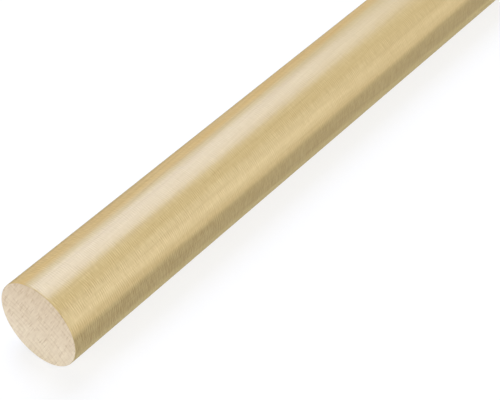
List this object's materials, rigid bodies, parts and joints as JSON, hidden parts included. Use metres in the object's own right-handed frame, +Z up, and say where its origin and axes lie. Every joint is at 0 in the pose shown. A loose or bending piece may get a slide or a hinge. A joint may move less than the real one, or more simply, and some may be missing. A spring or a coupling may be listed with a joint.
{
  "type": "round wooden handrail length",
  "caption": "Straight length of round hardwood handrail, sawn square at both ends, clear lacquered, for fixing along a stair wall on brackets.",
  "frame": {"origin": "on the floor, below the middle of the rail's length", "axes": "+X along the rail from the sawn end that the picture shows to the far end, +Z up from the floor the rail lies on"},
  "size_m": [1.5, 0.042, 0.0418],
  "materials": {
    "lacquered_maple": "satin clear lacquer on the round face, bare sawn end grain"
  },
  "bodies": {
    "root": {"handrail": "lacquered_maple"}
  },
  "joints": []
}
